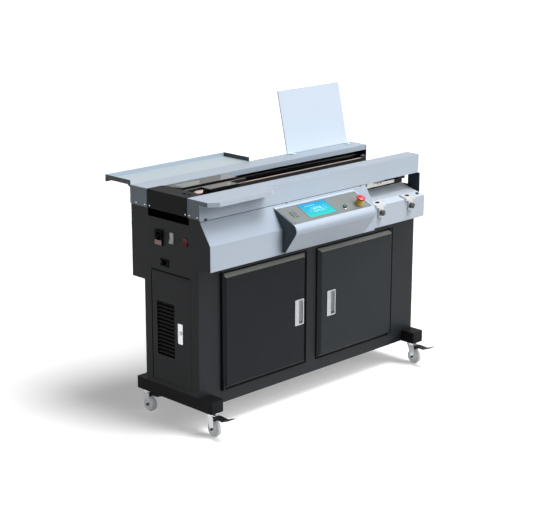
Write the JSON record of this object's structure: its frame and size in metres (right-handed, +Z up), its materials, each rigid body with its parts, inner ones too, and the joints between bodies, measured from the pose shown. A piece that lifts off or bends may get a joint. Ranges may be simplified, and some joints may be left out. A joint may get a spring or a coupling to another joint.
{
  "type": "perfect binding machine",
  "caption": "Floor-standing glue binder on a two-door cabinet: long covers over a book channel, tilted touch console, sliding clamp, side service door, swivel casters.",
  "frame": {"origin": "middle of the machine's box, on the floor", "axes": "+X along the machine from the electrical side to the infeed side, +Y from the front to the back, +Z up"},
  "size_m": [1.3184, 0.7028, 1.2253],
  "materials": {
    "black_powder_coat": "satin textured",
    "silver_paint": "satin",
    "chrome": "polished",
    "bright_steel": "ground",
    "dark_steel": "blackened",
    "cast_aluminium": "as cast",
    "grey_plate": "satin",
    "black_plastic": "matt",
    "white_plastic": "satin",
    "red_plastic": "gloss",
    "yellow_plastic": "satin",
    "green_plastic": "gloss",
    "screen_glass": "gloss",
    "clear_acrylic": "gloss",
    "pale_rubber": "smooth",
    "brass": "ground"
  },
  "bodies": {
    "cabinet": {"left_foot": "black_powder_coat", "right_foot": "black_powder_coat", "left_side_panel": "black_powder_coat", "right_side_panel": "black_powder_coat", "back_panel": "black_powder_coat", "cabinet_floor": "black_powder_coat", "front_frame": "black_powder_coat", "front_skirt": "silver_paint", "right_apron": "silver_paint", "front_cover": "silver_paint", "rear_cover": "silver_paint", "left_deck": "black_powder_coat", "front_deck": "dark_steel", "guide_rail": "chrome", "rear_guide_shaft": "chrome", "machine_bed": "cast_aluminium", "glue_tank": "cast_aluminium", "cover_hold_down": "chrome", "hold_down_clamp": "black_plastic", "console_shell": "silver_paint", "console_panel": "grey_plate", "touch_screen": "screen_glass", "console_frame": "black_powder_coat", "stop_base": "yellow_plastic", "breaker_body": "white_plastic", "power_inlet": "black_plastic", "paper_tray": "silver_paint", "cover_board": "clear_acrylic"},
    "left_door": {"left_door": "black_powder_coat", "left_door_pull": "chrome"},
    "right_door": {"right_door": "black_powder_coat", "right_door_pull": "chrome"},
    "service_door": {"service_door": "black_powder_coat"},
    "service_lock": {"service_lock": "black_plastic"},
    "stop_head": {"stop_head": "red_plastic"},
    "start_button": {"start_button": "green_plastic"},
    "breaker_lever": {"breaker_lever": "black_plastic"},
    "white_rocker": {"white_rocker": "white_plastic"},
    "red_rocker": {"red_rocker": "red_plastic"},
    "stop_block_1": {"stop_block_1": "chrome"},
    "stop_knob_1": {"stop_knob_1": "black_plastic"},
    "stop_block_2": {"stop_block_2": "chrome"},
    "stop_knob_2": {"stop_knob_2": "black_plastic"},
    "clamp_carriage": {"clamp_carriage": "dark_steel"},
    "clamp_jaw": {"clamp_jaw": "bright_steel"},
    "nip_plate": {"nip_plate": "bright_steel"},
    "glue_roller": {"glue_roller": "brass"},
    "milling_cutter": {"milling_cutter": "bright_steel"},
    "front_left_caster_fork": {"front_left_caster_fork": "chrome"},
    "front_left_caster_wheel": {"front_left_caster_wheel": "pale_rubber"},
    "front_left_caster_pedal": {"front_left_caster_pedal": "black_plastic"},
    "rear_left_caster_fork": {"rear_left_caster_fork": "chrome"},
    "rear_left_caster_wheel": {"rear_left_caster_wheel": "pale_rubber"},
    "rear_left_caster_pedal": {"rear_left_caster_pedal": "black_plastic"},
    "front_right_caster_fork": {"front_right_caster_fork": "chrome"},
    "front_right_caster_wheel": {"front_right_caster_wheel": "pale_rubber"},
    "front_right_caster_pedal": {"front_right_caster_pedal": "black_plastic"},
    "rear_right_caster_fork": {"rear_right_caster_fork": "chrome"},
    "rear_right_caster_wheel": {"rear_right_caster_wheel": "pale_rubber"},
    "rear_right_caster_pedal": {"rear_right_caster_pedal": "black_plastic"}
  },
  "joints": [
    {"name": "left_door_hinge", "type": "hinge", "parent": "cabinet", "child": "left_door", "pos_m": [-0.51715, -0.20674, 0.162], "axis": [0, 0, -1], "range_deg": [0, 110]},
    {"name": "right_door_hinge", "type": "hinge", "parent": "cabinet", "child": "right_door", "pos_m": [0.48885, -0.20674, 0.162], "axis": [0, 0, 1], "range_deg": [0, 110]},
    {"name": "service_door_hinge", "type": "hinge", "parent": "cabinet", "child": "service_door", "pos_m": [-0.63715, 0.06976, 0.173], "axis": [0, 0, -1], "range_deg": [0, 95]},
    {"name": "service_lock_press", "type": "slide", "parent": "service_door", "child": "service_lock", "axis": [1, 0, 0], "range_m": [0, 0.003], "stiffness_N_per_m": 300},
    {"name": "stop_head_press", "type": "slide", "parent": "cabinet", "child": "stop_head", "axis": [0, 0.4135, -0.9105], "range_m": [0, 0.004]},
    {"name": "start_button_press", "type": "slide", "parent": "cabinet", "child": "start_button", "axis": [0, 0.4135, -0.9105], "range_m": [0, 0.003], "stiffness_N_per_m": 300},
    {"name": "breaker_lever_throw", "type": "hinge", "parent": "cabinet", "child": "breaker_lever", "pos_m": [-0.64315, 0.02226, 0.77482], "axis": [0, 1, 0], "range_deg": [-35, 35]},
    {"name": "white_rocker_throw", "type": "hinge", "parent": "cabinet", "child": "white_rocker", "pos_m": [-0.64315, -0.05124, 0.7765], "axis": [0, -1, 0], "range_deg": [0, 16]},
    {"name": "red_rocker_throw", "type": "hinge", "parent": "cabinet", "child": "red_rocker", "pos_m": [-0.64315, -0.13024, 0.776], "axis": [0, -1, 0], "range_deg": [0, 16]},
    {"name": "stop_block_1_slide", "type": "slide", "parent": "cabinet", "child": "stop_block_1", "axis": [1, 0, 0], "range_m": [-0.01, 0.06]},
    {"name": "stop_knob_1_turn", "type": "hinge", "parent": "stop_block_1", "child": "stop_knob_1", "pos_m": [0.34885, -0.27154, 0.75], "axis": [0, -1, 0], "range_deg": [0, 360]},
    {"name": "stop_block_2_slide", "type": "slide", "parent": "cabinet", "child": "stop_block_2", "axis": [1, 0, 0], "range_m": [-0.064, 0.03]},
    {"name": "stop_knob_2_turn", "type": "hinge", "parent": "stop_block_2", "child": "stop_knob_2", "pos_m": [0.54485, -0.27154, 0.75], "axis": [0, -1, 0], "range_deg": [0, 360]},
    {"name": "carriage_travel", "type": "slide", "parent": "cabinet", "child": "clamp_carriage", "axis": [1, 0, 0], "range_m": [0, 0.78]},
    {"name": "jaw_close", "type": "slide", "parent": "clamp_carriage", "child": "clamp_jaw", "axis": [0, -1, 0], "range_m": [0, 0.03]},
    {"name": "nip_close", "type": "slide", "parent": "cabinet", "child": "nip_plate", "axis": [0, 1, 0], "range_m": [0, 0.08]},
    {"name": "glue_roller_spin", "type": "hinge", "parent": "cabinet", "child": "glue_roller", "pos_m": [0.10685, -0.11424, 0.84], "axis": [0, 1, 0], "continuous": true},
    {"name": "milling_cutter_spin", "type": "hinge", "parent": "cabinet", "child": "milling_cutter", "pos_m": [-0.12315, -0.00924, 0.838], "axis": [0, 0, 1], "continuous": true},
    {"name": "front_left_caster_swivel", "type": "hinge", "parent": "cabinet", "child": "front_left_caster_fork", "pos_m": [-0.60965, -0.23624, 0.0977], "axis": [0, 0, 1], "continuous": true},
    {"name": "front_left_caster_roll", "type": "hinge", "parent": "front_left_caster_fork", "child": "front_left_caster_wheel", "pos_m": [-0.60965, -0.25224, 0.0325], "axis": [1, 0, 0], "continuous": true},
    {"name": "front_left_caster_brake", "type": "hinge", "parent": "front_left_caster_fork", "child": "front_left_caster_pedal", "pos_m": [-0.60965, -0.25624, 0.077], "axis": [1, 0, 0], "range_deg": [0, 20]},
    {"name": "rear_left_caster_swivel", "type": "hinge", "parent": "cabinet", "child": "rear_left_caster_fork", "pos_m": [-0.60965, 0.15176, 0.0977], "axis": [0, 0, 1], "continuous": true},
    {"name": "rear_left_caster_roll", "type": "hinge", "parent": "rear_left_caster_fork", "child": "rear_left_caster_wheel", "pos_m": [-0.60965, 0.13576, 0.0325], "axis": [1, 0, 0], "continuous": true},
    {"name": "rear_left_caster_brake", "type": "hinge", "parent": "rear_left_caster_fork", "child": "rear_left_caster_pedal", "pos_m": [-0.60965, 0.13176, 0.077], "axis": [1, 0, 0], "range_deg": [0, 20]},
    {"name": "front_right_caster_swivel", "type": "hinge", "parent": "cabinet", "child": "front_right_caster_fork", "pos_m": [0.62335, -0.23624, 0.0977], "axis": [0, 0, 1], "continuous": true},
    {"name": "front_right_caster_roll", "type": "hinge", "parent": "front_right_caster_fork", "child": "front_right_caster_wheel", "pos_m": [0.62335, -0.25224, 0.0325], "axis": [1, 0, 0], "continuous": true},
    {"name": "front_right_caster_brake", "type": "hinge", "parent": "front_right_caster_fork", "child": "front_right_caster_pedal", "pos_m": [0.62335, -0.25624, 0.077], "axis": [1, 0, 0], "range_deg": [0, 20]},
    {"name": "rear_right_caster_swivel", "type": "hinge", "parent": "cabinet", "child": "rear_right_caster_fork", "pos_m": [0.62335, 0.15176, 0.0977], "axis": [0, 0, 1], "continuous": true},
    {"name": "rear_right_caster_roll", "type": "hinge", "parent": "rear_right_caster_fork", "child": "rear_right_caster_wheel", "pos_m": [0.62335, 0.13576, 0.0325], "axis": [1, 0, 0], "continuous": true},
    {"name": "rear_right_caster_brake", "type": "hinge", "parent": "rear_right_caster_fork", "child": "rear_right_caster_pedal", "pos_m": [0.62335, 0.13176, 0.077], "axis": [1, 0, 0], "range_deg": [0, 20]}
  ]
}
